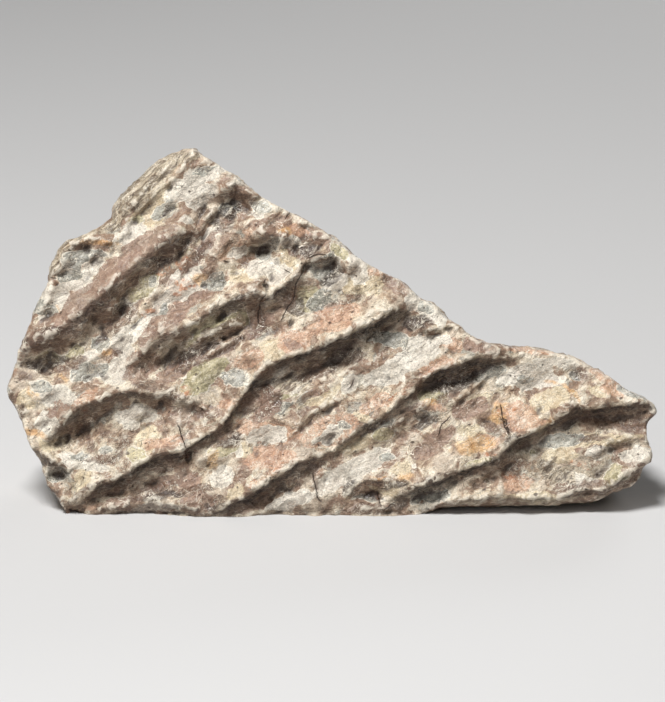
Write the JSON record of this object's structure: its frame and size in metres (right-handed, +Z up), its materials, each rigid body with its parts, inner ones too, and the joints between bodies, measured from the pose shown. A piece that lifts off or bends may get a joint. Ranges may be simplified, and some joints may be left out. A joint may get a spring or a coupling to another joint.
{
  "type": "fossil amphibian scute",
  "caption": "Thick wedge of fossil dermal bone with slanting ridges and pitted grooves on one face, standing on its flat-cut lower edge.",
  "frame": {"origin": "middle of the bounding box, at the level of the base", "axes": "+X along the length towards the narrow end, +Y from the ridged face to the back, +Z up"},
  "size_m": [0.0806, 0.0228, 0.0434],
  "materials": {
    "fossil_bone": "satin"
  },
  "bodies": {
    "root": {"scute": "fossil_bone"}
  },
  "joints": []
}
